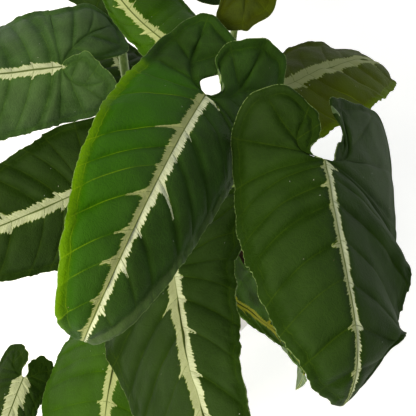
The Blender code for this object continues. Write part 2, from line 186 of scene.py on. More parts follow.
def value_noise(x, y, cell, rng, size=64):
    """Smooth random field in -1..1 with bumps one cell wide."""
    grid = rng.uniform(-1, 1, (size, size))
    gx, gy = np.asarray(x) / cell, np.asarray(y) / cell
    ix, iy = np.floor(gx).astype(int), np.floor(gy).astype(int)
    fx, fy = gx - ix, gy - iy
    fx, fy = fx * fx * (3 - 2 * fx), fy * fy * (3 - 2 * fy)
    near = grid[ix % size, iy % size] * (1 - fx) + grid[(ix + 1) % size, iy % size] * fx
    far = grid[ix % size, (iy + 1) % size] * (1 - fx) + grid[(ix + 1) % size, (iy + 1) % size] * fx
    return near * (1 - fy) + far * fy


def potting_mix(name, dark, light, size):
    """Peat and bark: no shine at all, and broken into crumbs of a millimetre or two."""
    made, tree, shader = finish_start(name)
    place = node(tree, "ShaderNodeTexCoord").outputs["Object"]
    crumb = node(tree, "ShaderNodeTexNoise", place, Scale=1 / size, Detail=4.0)
    tint = node(tree, "ShaderNodeMix", crumb, data_type="RGBA", A=dark, B=light)
    bump = node(tree, "ShaderNodeBump", Height=crumb, Strength=0.7, Distance=0.0008)
    node(tree, shader, Base_Color=tint, Normal=bump, Roughness=0.95)
    return made


def growing_tree(name, **inputs):
    """New Geometry Nodes tree that takes a piece and the named sizes, or an object for None."""
    tree = bpy.data.node_groups.new(name, "GeometryNodeTree")
    for way in ("INPUT", "OUTPUT"):
        tree.interface.new_socket("Geometry", in_out=way, socket_type="NodeSocketGeometry")
    for label, value in inputs.items():
        label = label.replace("_", " ")
        kind = "NodeSocketObject" if value is None else "NodeSocketFloat"
        socket = tree.interface.new_socket(label, in_out="INPUT", socket_type=kind)
        socket.default_value = value
    return tree, node(tree, "NodeGroupInput").outputs


def join_grown(tree, given, grown, finish):
    """End of a tree: dress what has grown, join it with the piece and make all of it real."""
    dressed = node(tree, "GeometryNodeSetMaterial", grown, Material=finish)
    joined = node(tree, "GeometryNodeJoinGeometry", dressed)
    tree.links.new(given["Geometry"], joined.inputs["Geometry"])
    node(tree, "NodeGroupOutput", node(tree, "GeometryNodeRealizeInstances", joined))


def crumb_tree(finish, seed):
    """Scatter uneven grains over the upper side of a surface."""
    tree, given = growing_tree("soil_grains", Density=60000.0, Smallest=0.0005, Largest=0.0016)
    up = node(tree, "ShaderNodeSeparateXYZ", node(tree, "GeometryNodeInputNormal"))
    level = node(tree, "FunctionNodeCompare", up.outputs["Z"], 0.6, operation="GREATER_THAN")
    spots = node(tree, "GeometryNodeDistributePointsOnFaces", given["Geometry"], level,
                 Density=given["Density"], Seed=seed)
    grain = node(tree, "GeometryNodeMeshIcoSphere", Radius=1.0, Subdivisions=1)
    size = node(tree, "FunctionNodeRandomValue", data_type="FLOAT",
                Min=given["Smallest"], Max=given["Largest"], Seed=seed + 1)
    turn = node(tree, "FunctionNodeRandomValue", data_type="FLOAT_VECTOR", Max=(6.28, 6.28, 6.28))
    squeeze = node(tree, "FunctionNodeRandomValue", data_type="FLOAT_VECTOR", Min=(0.6, 0.5, 0.4))
    grow = node(tree, "ShaderNodeVectorMath", squeeze, operation="SCALE", Scale=size)
    placed = node(tree, "GeometryNodeInstanceOnPoints", spots, Instance=grain, Scale=grow,
                  Rotation=turn)
    join_grown(tree, given, node(tree, "GeometryNodeRealizeInstances", placed), finish)
    return tree


def grow_with(piece, tree, **values):
    """Run a node tree on a piece, keep its result as plain mesh and drop the modifier."""
    modifier = piece.modifiers.new(tree.name, "NODES")
    modifier.node_group = tree
    for item in tree.interface.items_tree:
        if item.in_out == "INPUT" and item.name in values:
            modifier[item.identifier] = values[item.name]
    graph = bpy.context.evaluated_depsgraph_get()
    made = bpy.data.meshes.new_from_object(piece.evaluated_get(graph))
    piece.modifiers.remove(modifier)
    piece.data = made
    return piece


peat = potting_mix("peat_potting_mix", "#1B120C", "#4A3423", 0.0016)
soil_side = inner_radius(step) - SOIL_GAP
soil_floor = POT_FLOOR + SOIL_LIFT
soil_bevel = POT_FLOOR + SOIL_CORNER
soil_profile = [(0, soil_floor), (inner_radius(POT_FLOOR) - SOIL_CORNER, soil_floor),
                (inner_radius(soil_bevel - SOIL_LIFT) - SOIL_GAP, soil_bevel),
                (soil_side, step), (soil_side, SOIL_LEVEL)]
for k in range(SOIL_RINGS + 1):
    soil_profile.append(((soil_side - SOIL_EDGE) * (1 - k / SOIL_RINGS),
                         SOIL_LEVEL + SOIL_CROWN * k / SOIL_RINGS))
soil = turned("potting_soil", soil_profile, SOIL_SIDES, [peat])
soil_top = [vertex for vertex in soil.data.vertices if vertex.co.z > SOIL_LEVEL - 0.0005]
lumps = value_noise([v.co.x + 0.5 for v in soil_top], [v.co.y + 0.5 for v in soil_top], SOIL_LUMP,
                    np.random.default_rng(5))
for vertex, lump in zip(soil_top, lumps):
    vertex.co.z += SOIL_SWELL * float(lump)
bark = potting_mix("composted_bark", "#2A1A10", "#6B4A30", 0.004)
perlite = potting_mix("perlite", "#C9C5BC", "#EDEAE3", 0.003)
grow_with(soil, crumb_tree(bark, 3), Density=260000.0, Smallest=0.0004, Largest=0.0013)
grow_with(soil, crumb_tree(perlite, 8), Density=1500.0, Smallest=0.0009, Largest=0.0015)
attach(soil, "root")
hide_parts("soil")

# Leaves. Each is a thin arrowhead blade on a long round stalk that comes straight
# out of the soil. The velvety upper side is dark green with a feathered silver
# band along the midrib, and the side veins are sunk between puffed panels.

BLADE_THICK = 0.00055
SHOULDER = 0.06
VEIN_SAG = 0.28
ASPECT = 0.28
LOBE_VEIN_ELBOW = (0.42, -0.12)
LOBE_VEIN_SHARE = 0.68
LOBE_VEIN_OUT = 0.11
SIDE_VEINS = 8
ROWS_PER_VEIN = 22
LOBE_STEPS = 44
CROSS_STEPS = 26
OUTLINE_ROWS = 3
FLAT_MAP = 0.2

# In mm: how far inside the margin its vein runs, how wide a sunken vein's groove is, and the
# height and half width of the ridges under the side veins and under the midrib
MARGIN_VEIN = 3.4
GROOVE = 2.4
VEIN_RIDGE, VEIN_WIDTH = 0.35, 0.5
RIB_RIDGE, RIB_WIDTH = 1.1, 0.9

# Half a blade's outline: x in half widths, y in blade lengths from the stalk
MAIN_EDGE = ((1.0, SHOULDER), (0.995, 0.16), (0.945, 0.32), (0.84, 0.49), (0.66, 0.67),
             (0.43, 0.825), (0.20, 0.93), (0.06, 0.982), (0.0, 1.0))

# One half of a leaf, in mm and degrees. fold and drop: its slope and curve across. hang and
# spread: how the lobe bends and turns. sinus: how wide the notch at the stalk is. wave and
# flare: how the margin ripples and lifts. tone: how much painted light lightens its tissue, as
# light coming through it would. pale: how much painted light brightens its silver. band: how
# wide its silver is. roll: how strongly a pale band, painted along the margin, stands for the
# highlight of a rolled-back edge. ragged: how the margin is notched. veins: where each side vein
# leaves the midrib, and how far silver runs along it
HALF = dict(width=34, lobe=34, fold=10, drop=20, hang=20, spread=0, neck=0.10, slim=0.0, sinus=1.0,
            wave=1.2, phase=0.0, painted_light=0.0, flare=0.6, pale=0.6, roll=0.0, band=1.0, ragged=1.0,
            veins=((1, 1.5), (2, 2.4), (2.9, 1.2), (4.1, 3.0), (5, 1.4), (6, 2.2), (6.9, 1.2)))

# A whole leaf, in mm and degrees. at, aim and foot: the blade's base, its heading, dip and
# roll, and where the stalk leaves the soil. bend, curl and swerve: how the midrib runs down
# and aside. full: how broad the middle is. bow: how the stalk leans out. band: half width of
# the silver at the stalk and at the tip. puff: height of the panels between the side veins
LEAF = dict(length=110, bend=60, ease=1.5, curl=20, curl_at=0.85, swerve=0, twist=0, full=0.0,
            waves=5.0, rows=9, stalk=1.0, bow=(0, 0), right={}, left={}, finish="dark",
            band=(2.6, 0.9), puff=0.75, detail=1.0)

LEAVES = {
    "leaf_front": dict(
        at=(7, -34, 235), aim=(-108, -27, -13), foot=(6, -10), length=137, bend=62, curl=74,
        curl_at=0.83, swerve=-6, twist=-16, full=0.10, rows=16, finish="front",
        band=(2.5, 0.9), puff=0.9,
        right=dict(width=29, lobe=42, fold=2, drop=3, hang=-45, neck=-0.19, slim=0.05,
                   painted_light=1.0, pale=0.0, flare=0.3,
                   veins=((1.3, 2.0), (2.95, 8), (3.7, 0.8), (4.3, 1.5), (4.95, 5.5), (5.7, 3.4),
                          (6.2, 3.5), (6.8, 1.5), (7.3, 1.5))),
        left=dict(width=29, lobe=37, fold=4, drop=50, hang=-78, spread=-5, neck=-0.08, slim=-0.18,
                  painted_light=-0.3, flare=1.4, pale=1.0, roll=1.0,
                  veins=((0.6, 6), (1.8, 1.5), (3.0, 2.8), (3.9, 1.5), (4.6, 9.5), (5.6, 2),
                         (6.2, 3.5), (6.9, 1.5)))),
    "leaf_right": dict(
        at=(51, -66, 239), aim=(-85, -3, -10), foot=(16, -7), length=105, bend=61, ease=2.8,
        curl=38, curl_at=0.74, swerve=-7, twist=-6, full=0.08, waves=2.95, rows=20,
        band=(2.0, 0.7), puff=0.9,
        right=dict(width=36, lobe=13, fold=-6, drop=56, hang=-80, spread=-45, neck=0.14,
                   slim=-0.10, wave=1.6, phase=-0.28, painted_light=0.2, pale=0.0, band=0.7),
        left=dict(width=52, lobe=23, fold=34, drop=20, hang=-11, spread=-23, neck=0.33,
                  slim=-0.60, wave=7.2, phase=0.01, painted_light=-0.1, pale=1.0, band=1.2, ragged=1.7,
                  veins=((0.7, 5), (1.6, 1), (2.7, 2), (4, 1.5), (5.1, 1), (6, 2.5), (6.9, 1)))),
    "leaf_low_front": dict(
        at=(-6, -80, 179), aim=(-84, -8, 40), foot=(-6, -19), length=136, bend=24, ease=1.2,
        curl=50, curl_at=0.88, swerve=-9, twist=17, full=-0.16, band=(3.6, 1.6), puff=0.8,
        right=dict(width=49, lobe=38, fold=4, drop=5, hang=10, spread=2, slim=-0.02,
                   painted_light=-0.3, pale=0.15,
                   veins=((1, 2), (2, 7), (3.1, 1.5), (4, 4), (5, 6), (6, 2), (6.9, 1.5))),
        left=dict(width=29, lobe=37, fold=8, drop=13, hang=15, spread=15, slim=-0.21,
                  painted_light=0.1, pale=0.8,
                  veins=((1, 2), (2, 1.5), (3, 4), (4.2, 2), (5.1, 2), (6, 8), (6.9, 1.5)))),
    "leaf_upper_left": dict(
        at=(-53, -1, 209), aim=(185, 3, -23), foot=(-17, 1), length=111, bend=67, ease=1.4,
        twist=25, full=0.14, finish="blue", band=(2.6, 1.2), puff=0.7,
        right=dict(width=39, lobe=43, fold=27, drop=16, hang=82, spread=10, neck=0.04, slim=-0.10,
                   sinus=0.3),
        left=dict(width=31, lobe=16, fold=40, drop=26, hang=2, spread=-22, neck=-0.10, slim=0.04,
                  sinus=-0.6)),
    "leaf_lower_left": dict(
        at=(-44, -41, 176), aim=(209, 0, -43), foot=(-20, -8), length=100, bend=62, ease=1.35,
        swerve=-1, twist=3, full=-0.15, band=(3.2, 1.4),
        right=dict(width=32, lobe=36, fold=19, drop=31, hang=2, spread=-2, slim=0.06),
        left=dict(width=37, fold=9, drop=24)),
    "leaf_young_bright": dict(
        at=(-8, -4, 228), aim=(135, 7, -13), foot=(-5, 5), length=80, bend=26, ease=1.6,
        swerve=35, twist=-21, full=0.08, stalk=0.85, finish="bright", band=(2.2, 1.0), puff=0.5,
        right=dict(width=28, lobe=8, fold=18, drop=50, spread=16, neck=0.0, wave=0.8),
        left=dict(width=10, lobe=18, fold=14, drop=34)),
    "leaf_back_right": dict(
        at=(38, 4, 186), aim=(41, 21, -11), foot=(20, 4), length=114, bend=51, ease=1.8,
        curl=42, curl_at=0.88, swerve=-10, twist=-2, finish="olive", band=(4.0, 1.6), puff=0.5,
        right=dict(width=29, lobe=15, fold=14, drop=32, painted_light=0.6),
        left=dict(width=26, lobe=15, fold=2, drop=8, painted_light=-0.3)),
    "leaf_top": dict(
        at=(30, 44, 223), aim=(120, 6, 11), foot=(20, 18), bow=(-11, 2), length=98, bend=52,
        finish="olive", puff=0.4,
        right=dict(width=30, lobe=16, hang=15, painted_light=-0.6),
        left=dict(width=20, lobe=36, fold=11, drop=3, hang=35, spread=24, neck=-0.08, slim=-0.32,
                  painted_light=-0.6)),
    "leaf_bottom_bright": dict(
        at=(-32, -83, 121), aim=(-99, 17, 14), foot=(-12, -27), length=90, bend=57, ease=1.6,
        swerve=9, twist=-24, full=0.30, finish="bright", band=(2.6, 1.2), puff=0.6,
        right=dict(width=38, fold=19, drop=28),
        left=dict(width=34)),
    "leaf_young_narrow": dict(
        at=(11, -72, 142), aim=(-15, 39, -10), foot=(8, -23), length=98, bend=50, ease=1.4,
        swerve=-4, twist=-11, full=-0.06, stalk=0.75, finish="young", band=(1.6, 0.6), puff=0.3,
        right=dict(width=6.5, lobe=10, fold=1, drop=3, wave=0.5, pale=0.0, painted_light=0.5),
        left=dict(width=36, lobe=9, fold=6, wave=0.8, pale=0.0)),
    "leaf_corner": dict(
        at=(-80, -88, 80), aim=(-108, 8, 4), foot=(-22, -20), bow=(10, -20), length=78, bend=50,
        full=-0.25, band=(4.5, 2.0),
        right=dict(width=22, lobe=16, fold=12, drop=40, sinus=0.55, neck=0.03),
        left=dict(width=15, lobe=13, fold=12, drop=45, sinus=0.55, neck=0.03)),
    "leaf_under_left": dict(
        at=(-30, 50, 122), aim=(110, 10, 0), foot=(-15, 8), length=60, bend=40, detail=0.6,
        right=dict(width=19, lobe=10),
        left=dict(width=19, lobe=10)),
    "leaf_back_left": dict(
        at=(-34, 87, 182), aim=(134, 12, -10), foot=(-27, 14), bow=(-15, 0), stalk=1.25,
        length=105, detail=0.6,
        right=dict(width=28, hang=25),
        left=dict(width=33, hang=25)),
    "leaf_back": dict(
        at=(-8, 110, 152), aim=(82, 10, 0), foot=(-2, 23), length=110, bend=70, ease=1.6,
        detail=0.6,
        right=dict(width=36, lobe=26),
        left=dict(width=36, lobe=26)),
    "leaf_far_right": dict(
        at=(50, 38, 126), aim=(36, 8, 0), foot=(28, 12), length=70, bend=55, detail=0.6,
        right=dict(width=18, lobe=14),
        left=dict(width=18, lobe=14)),
    "leaf_under_right": dict(
        at=(66, -28, 132), aim=(-45, 55, 0), foot=(25, -12), length=66, bend=40, stalk=0.85,
        detail=0.6,
        right=dict(width=22, lobe=18, wave=0.8),
        left=dict(width=22, lobe=18, wave=0.8)),
}


def rad(degrees):
    """Radians from degrees."""
    return math.radians(degrees)


def unit(v):
    """The same directions, each of length one."""
    return v / (np.linalg.norm(v, axis=-1, keepdims=True) + 1e-12)


def spline(points, count, before=None, after=None):
    """Smooth curve through the points, read at even steps along its length."""
    first = 2 * points[0] - points[1] if before is None else before
    last = 2 * points[-1] - points[-2] if after is None else after
    knots = np.vstack([first, points, last])
    out = []
    t = np.linspace(0, 1, 25)[:-1, None]
    for i in range(1, len(knots) - 2):
        a, b, c, d = knots[i - 1:i + 3]
        out.append(0.5 * (2 * b + (c - a) * t + (2 * a - 5 * b + 4 * c - d) * t ** 2
                          + (3 * b - a - 3 * c + d) * t ** 3))
    out = np.vstack(out + [points[-1:]])
    run = np.r_[0, np.cumsum(np.linalg.norm(np.diff(out, axis=0), axis=1))]
    want = np.linspace(0, run[-1], count)
    return np.stack([np.interp(want, run, out[:, k]) for k in range(out.shape[1])], 1)


def half_outline(leaf, half, lobe_steps, main_steps):
    """Flat edge points of one half, the vein points they start from, and the way round the edge."""
    width, lobe, length = half["width"] * MM, half["lobe"] * MM, leaf["length"] * MM
    neck, slim, spread = half["neck"], half["slim"], rad(half["spread"])
    notch = half["sinus"]
    inner = np.array([(0, 0), (0.11 * notch, -0.07), (0.165 * notch, -0.27), (neck, -0.52),
                      (neck + 0.07, -0.78), (0.36, -0.965), (0.52, -1.0)])
    outer = np.array([(0.52, -1.0), (0.72 - slim, -0.93), (0.90 - slim, -0.66),
                      (0.985 - slim * 0.4, -0.32), (1.0, SHOULDER * length / lobe)])
    t = np.linspace(0, 1, lobe_steps + 1)[:, None]

    def swing(flat):
        """Turn lobe points about the stalk, more towards the lobe's end."""
        turn = spread * np.clip(-flat[:, 1], 0, 1)
        x, y = flat[:, 0] * width, flat[:, 1] * lobe
        return np.stack([x * np.cos(turn) - y * np.sin(turn),
                         x * np.sin(turn) + y * np.cos(turn)], 1)

    smooth = spline(np.array(MAIN_EDGE) * (ASPECT, 1), 900) / (ASPECT, 1)
    along = np.linspace(0, 1, main_steps + 1)
    share = SHOULDER + (1 - SHOULDER) * along
    full = 1 + leaf["full"] * np.sin(np.pi * share)
    edge_main = np.stack([np.interp(share, smooth[:, 1], smooth[:, 0]) * full * width,
                          share * length], 1)
    inner, outer, elbow = swing(inner), swing(outer), swing(np.array([LOBE_VEIN_ELBOW]))
    vein_end = LOBE_VEIN_SHARE * inner[-1] + [LOBE_VEIN_OUT * width, 0]
    vein = 2 * t * (1 - t) * elbow + t ** 2 * vein_end
    next_main = np.array([[np.interp(0.12, smooth[:, 1], smooth[:, 0]) * width, 0.12 * length]])
    edge_in = spline(inner, lobe_steps + 1, after=outer[1])
    edge_out = spline(outer, lobe_steps + 1, before=inner[-2], after=next_main[0])
    foot = np.stack([0 * along, length * along ** 1.6], 1)
    even = np.interp(share, smooth[:, 1], np.linspace(0, 1, len(smooth)))
    rows = 2 * OUTLINE_ROWS + leaf["rows"]
    way = np.r_[OUTLINE_ROWS * t[:, 0], OUTLINE_ROWS * (1 + t[1:, 0]),
                2 * OUTLINE_ROWS + leaf["rows"] * even[1:]] / rows
    return (np.vstack([edge_in, edge_out[1:], edge_main[1:]]),
            np.vstack([vein, vein[::-1][1:], foot[1:]]), way)


def axes(leaf):
    """Base point of the blade with its forward, right and up directions."""
    heading, dip, roll = [rad(a) for a in leaf["aim"]]
    forward = np.array([math.cos(heading) * math.cos(dip), math.sin(heading) * math.cos(dip),
                        -math.sin(dip)])
    right = np.array([math.sin(heading), -math.cos(heading), 0.0])
    up = np.cross(right, forward)
    rolled = right * math.cos(roll) - up * math.sin(roll)
    return np.array(leaf["at"]) * MM, forward, rolled, up * math.cos(roll) + right * math.sin(roll)


def walked(base, ahead, step):
    """Points reached from a base by even steps in changing directions."""
    return base + np.vstack([np.zeros(3), np.cumsum((ahead[1:] + ahead[:-1]) / 2 * step, axis=0)])


def midrib(leaf, steps=160):
    """Distances along the midrib, its points, and its right and up directions."""
    base, forward, right, up = axes(leaf)
    run = np.linspace(0, leaf["length"] * MM, steps)
    q = run / run[-1]
    tip = np.clip((q - leaf["curl_at"] + 0.14) / 0.28, 0, 1)
    bend = rad(leaf["bend"]) * q ** leaf["ease"] + rad(leaf["curl"]) * tip ** 2 * (3 - 2 * tip)
    side = rad(leaf["swerve"]) * q
    twist = rad(leaf["twist"]) * q[:, None]
    ahead = ((np.cos(bend) * np.cos(side))[:, None] * forward
             + (np.cos(bend) * np.sin(side))[:, None] * right - np.sin(bend)[:, None] * up)
    over = np.sin(bend)[:, None] * forward + np.cos(bend)[:, None] * up
    across = unit(np.cross(ahead, over))
    over = np.cross(across, ahead)
    return (run, walked(base, ahead, run[1]), across * np.cos(twist) - over * np.sin(twist),
            over * np.cos(twist) + across * np.sin(twist))


def lobe_axis(leaf, half, steps=60):
    """The same for the lobes, which run back from the stalk and bend down or up."""
    base, forward, right, up = axes(leaf)
    run = np.linspace(0, 0.1, steps)
    bend = (rad(half["hang"]) * run / 0.06)[:, None]
    back = -np.cos(bend) * forward - np.sin(bend) * up
    return (run, walked(base, back, run[1]), np.repeat(right[None], steps, 0),
            np.cos(bend) * up - np.sin(bend) * forward)


def lay(leaf, half, side, x, y, u, v, lift):
    """Bend flat blade points into space. u runs round the edge, v from vein to edge."""
    front = midrib(leaf)
    back = lobe_axis(leaf, half)

    def read(which):
        ahead = np.stack([np.interp(y, front[0], front[which][:, k]) for k in range(3)], -1)
        behind = np.stack([np.interp(-y, back[0], back[which][:, k]) for k in range(3)], -1)
        return np.where((y < 0)[..., None], behind, ahead)

    fold = rad(half["fold"])
    curve = rad(half["drop"]) / (half["width"] * MM)
    across = (np.sin(fold + curve * x) - np.sin(fold)) / curve
    down = (np.cos(fold) - np.cos(fold + curve * x)) / curve
    ends = np.clip((u - 0.2) * 6, 0, 1) * np.clip((1 - u) * 2.5, 0, 1)
    ripple = np.sin(2 * np.pi * (leaf["waves"] * u + half["phase"]))
    down = down - half["wave"] * MM * v ** 2.2 * ripple * ends - lift
    return read(1) + side * read(2) * across[..., None] - read(3) * down[..., None]


def side_vein_distances(flat, marks, slope=0.8):
    """Distance in metres from each blade point to each side vein, which crosses the rows aslant."""
    step_length = np.linalg.norm(np.diff(flat, axis=0), axis=2)
    run = np.vstack([np.zeros(flat.shape[1]), np.cumsum(step_length, axis=0)])
    return np.abs(run[:, None, :] - run[marks][None, :, :]) * slope


def random_line(count, period, rng):
    """Smooth random numbers in -1..1 that change over about one period of samples."""
    knots = rng.uniform(-1, 1, int(count / period) + 3)
    at = np.arange(count) / period
    low = at.astype(int)
    share = at - low
    share = share * share * (3 - 2 * share)
    return knots[low] * (1 - share) + knots[low + 1] * share


def fine_half(leaf, side, rng):
    """Grid of one half of a blade: points, quads and what its finish follows, in mm."""
    half = {**HALF, **leaf["right" if side > 0 else "left"]}
    lobe_steps = int(LOBE_STEPS * leaf["detail"])
    per_vein = int(ROWS_PER_VEIN * leaf["detail"])
    main_steps = SIDE_VEINS * per_vein
    columns = int(CROSS_STEPS * leaf["detail"])
    v = (np.arange(columns + 1) / columns)[None, :] ** 1.25
    edge, foot, way = half_outline(leaf, half, lobe_steps, main_steps)
    rows = len(edge)
    out = unit(edge - foot)
    notch = random_line(rows, 2.6, rng) * 0.45 + random_line(rows, 9, rng) * 0.5
    fade = np.clip(np.arange(rows) / 12, 0, 1) * np.clip((rows - 1 - np.arange(rows)) / 8, 0, 1)
    notch = notch * half["ragged"] + random_line(rows, 22, rng) * 2.2 * (half["ragged"] - 1)
    edge = edge + out * (notch * fade * MM)[:, None]
    flat = foot[:, None] + (edge - foot)[:, None] * v[..., None]
    reach = np.linalg.norm(edge - foot, axis=1)[:, None]
    row = np.arange(rows)[:, None]
    lobe_rows = 2 * lobe_steps
    beyond_lobe = row >= lobe_rows
    past_lobe = np.clip((row - lobe_rows) / per_vein, 0, 1)
    arched = past_lobe * np.clip(edge[:, :1] / (0.3 * half["width"] * MM), 0, 1)
    flat[..., 1] -= arched * VEIN_SAG * v * (1 - v) * reach
    x, y = flat[..., 0], flat[..., 1]
    u = np.repeat(way[:, None], columns + 1, 1)
    across = np.repeat(v, rows, 0)
    marks = [lobe_rows + int(per_vein * place) for place, _ in half["veins"]]
    marks += [lobe_rows] + [int(lobe_steps * s) for s in (0.35, 0.7, 1.0, 1.35, 1.7)]

    # Relief: panels puffed between the grooves of the veins, with puckers and a ruffled margin
    away = side_vein_distances(flat, marks)
    main = np.where(y >= 0, np.abs(x), np.hypot(x, y))
    lobe_vein = across * reach
    spine = np.where(row < lobe_rows, lobe_vein, main)
    rim = (1 - across) * reach
    rim_vein = np.abs(rim - MARGIN_VEIN * MM) + np.where(reach < 8 * MM, MM, 0)
    shallow = rng.uniform(0, 2.2, len(marks))[None, :, None] * MM
    groove = np.minimum(np.minimum((away + shallow).min(1), spine), rim_vein)
    soft = np.clip(reach / (16 * MM), 0.15, 1) * np.clip(rim / (1.5 * MM), 0, 1)
    raised = 1 - np.exp(-(groove / (GROOVE * MM)) ** 2)
    puff = 1.7 * leaf["puff"] * MM * raised * soft
    pucker = (0.75 * value_noise(x + 0.4, y + 0.4, 0.010, rng)
              + 0.20 * value_noise(x + 0.4, y + 0.4, 0.004, rng))
    ruffle = (random_line(rows, 13, rng) + 0.45 * random_line(rows, 5, rng))[:, None]
    ruffle = ruffle * across ** 4 * fade[:, None] * np.clip(reach / (10 * MM), 0, 1)
    flare = half["flare"] * MM * np.clip(1 - rim / (4.2 * MM), 0, 1) ** 1.5 * fade[:, None]
    lift = puff + (pucker * soft + ruffle) * MM + flare
    laid = lay(leaf, half, side, x, y, u, across, lift)

    # Silver: how many mm inside it a point lies, in the band or in a spur along a side vein.
    # The tissue's painted light gives way to painted shade on the tip's side of each vein and near
    # the middle
    start, end = leaf["band"]
    q = np.clip(y / (leaf["length"] * MM), 0, 1)
    half_band = start + (end - start) * q ** 2.2
    half_band = half_band * np.clip(0.35 + y / (5 * MM), -3, 1) * half["band"]
    uneven = 1 + 0.16 * random_line(rows, 6, rng) + 0.12 * random_line(rows, 17, rng)
    from_rib = np.abs(x) / MM
    silver = half_band * uneven[:, None] - from_rib
    gone = from_rib - start * half["band"] * 0.7
    vein_shade = np.zeros_like(x)
    for k, (_, length) in enumerate(half["veins"]):
        left_over = 1 - gone / length
        beside = away[:, k] / MM
        tipward = row > marks[k]
        spur = np.clip(left_over, 0, 1) ** 2.2 * min(2.6, 0.7 + length / 4) + 0.42
        spur = spur - beside * np.where(tipward, 1.0, 1.6)
        on_spur = beyond_lobe & (gone > -1) & (left_over > -0.12)
        silver = np.maximum(silver, np.where(on_spur, spur, -9))
        shade = np.exp(-beside / 3.4) * np.clip(1.25 - from_rib / 17, 0, 1)
        vein_shade = np.maximum(vein_shade, tipward * beyond_lobe * shade)
    light = half["painted_light"] * (0.30 + 0.70 * np.clip((from_rib - 3) / 11, 0, 1))
    light = light * (1 - 0.62 * vein_shade) * np.clip(1 + y / (8 * MM), 0, 1)

    quads = []
    width = columns + 1
    for i in range(rows - 1):
        a = i * width + np.arange(columns)
        quad = np.stack([a, a + 1, a + width + 1, a + width], 1)
        quads.append(quad if side > 0 else quad[:, ::-1])
    # tone and pale carry painted light, crest is the height of the puffed panels that take a
    # painted highlight, and roll sets a painted highlight along the margin
    facts = dict(silver=silver, vein=np.minimum(away.min(1), lobe_vein + beyond_lobe) / MM,
                 rib=main / MM, rim=rim / MM, flat_x=side * x, flat_y=y, painted_light=light,
                 comb=(y - 0.8 * x) / MM, pale=half["pale"] * np.clip(from_rib / 0.4, 0, 1),
                 roll=half["roll"] * past_lobe + 0 * x, crest=raised * soft + 0.5 * pucker)
    return laid.reshape(-1, 3), np.vstack(quads), {k: f.reshape(-1) for k, f in facts.items()}


def weld(points, faces, facts):
    """Merge the points that the two halves and the vein rows share, and drop flat faces."""
    key = np.round(points / 2e-6).astype(np.int64)
    _, first, index = np.unique(key, axis=0, return_index=True, return_inverse=True)
    faces = index.reshape(-1)[faces]
    kept = []
    for face in faces.tolist():
        ring = [p for i, p in enumerate(face) if p != face[i - 1]]
        if len(set(ring)) == len(ring) > 2:
            kept.append(ring)
    return points[first], kept, {k: f[first] for k, f in facts.items()}


def vertex_normals(points, faces):
    """Area-weighted normals."""
    normal = np.zeros_like(points)
    for size in (3, 4):
        ring = np.array([f for f in faces if len(f) == size])
        if len(ring) == 0:
            continue
        first, second = points[ring[:, 0]], points[ring[:, 1]]
        corner = np.cross(points[ring[:, 2]] - first, points[ring[:, -1]] - second)
        if size == 3:
            corner = np.cross(second - first, points[ring[:, 2]] - first)
        for k in range(size):
            np.add.at(normal, ring[:, k], corner)
    return unit(normal)


# What a blade's finish follows, kept on each of its points
BLADE_FACTS = ("silver", "vein", "rib", "rim", "painted_light", "comb", "pale", "roll", "crest")


def leaf_blade(name, leaf, finishes, seed):
    """Closed blade: fine upper sheet, underside with raised veins, and a thin edge."""
    rng = np.random.default_rng(seed)
    right = fine_half(leaf, 1, rng)
    left = fine_half(leaf, -1, rng)
    points = np.vstack([right[0], left[0]])
    faces = np.vstack([right[1], left[1] + len(right[0])])
    facts = {k: np.r_[right[2][k], left[2][k]] for k in right[2]}
    points, faces, facts = weld(points, faces, facts)
    normal = vertex_normals(points, faces)
    ridge = VEIN_RIDGE * np.exp(-(facts["vein"] / VEIN_WIDTH) ** 2)
    taper = np.clip(1 - facts["flat_y"] / (leaf["length"] * MM), 0, 1)
    ridge = np.maximum(ridge, RIB_RIDGE * taper * np.exp(-(facts["rib"] / RIB_WIDTH) ** 2))
    ridge = ridge * np.clip(facts["rim"] / 2, 0, 1) * MM
    count = len(points)
    edges = {(f[i - 1], f[i]) for f in faces for i in range(len(f))}
    rim = [(a, b) for a, b in sorted(edges) if (b, a) not in edges]
    top = points + normal * BLADE_THICK / 2
    beneath = points - normal * (BLADE_THICK / 2 + ridge[:, None])
    under = [[p + count for p in reversed(f)] for f in faces]
    walls = [[b, a, a + count, b + count] for a, b in rim]
    made = mesh_piece(name, np.vstack([top, beneath]), faces + under + walls, finishes, 75)
    mesh = made.data
    sides = np.r_[np.zeros(len(faces)), np.ones(len(under)), np.zeros(len(walls))].astype(np.int32)
    mesh.polygons.foreach_set("material_index", sides)
    for fact in BLADE_FACTS:
        held = mesh.attributes.new(fact, "FLOAT", "POINT")
        held.data.foreach_set("value", np.r_[facts[fact], facts[fact]].astype(np.float32))
    flat = np.stack([facts["flat_x"], facts["flat_y"]], 1) / FLAT_MAP + 0.5
    flat = np.vstack([flat, flat]).astype(np.float32)
    corner = np.zeros(len(mesh.loops), np.int32)
    mesh.loops.foreach_get("vertex_index", corner)
    mesh.uv_layers.new(name="flat").data.foreach_set("uv", flat[corner].reshape(-1))
    return made


STALK_FOOT = 0.0023
STALK_TOP = 0.0014
STALK_STEPS = 44
STALK_SIDES = 18
FOOT_DEPTH = 0.012
FOOT_SHOWS = 0.003
TOP_AHEAD = 0.0022
TOP_UNDER = 0.0011


def stalk_tree(finish):
    """Sweep a tapered round stalk along a path."""
    tree, given = growing_tree("leaf_stalk", Path=None, Foot_Radius=STALK_FOOT,
                               Top_Radius=STALK_TOP)
    path = node(tree, "GeometryNodeObjectInfo", given["Path"]).outputs["Geometry"]
    even = node(tree, "GeometryNodeResampleCurve", path, Count=STALK_STEPS)
    radius = node(tree, "ShaderNodeMapRange", node(tree, "GeometryNodeSplineParameter"),
                  To_Min=given["Foot Radius"], To_Max=given["Top Radius"])
    ring = node(tree, "GeometryNodeCurvePrimitiveCircle", Resolution=STALK_SIDES, Radius=1.0)
    swept = node(tree, "GeometryNodeCurveToMesh", even, ring, Scale=radius, Fill_Caps=True)
    join_grown(tree, given, node(tree, "GeometryNodeSetShadeSmooth", swept), finish)
    return tree


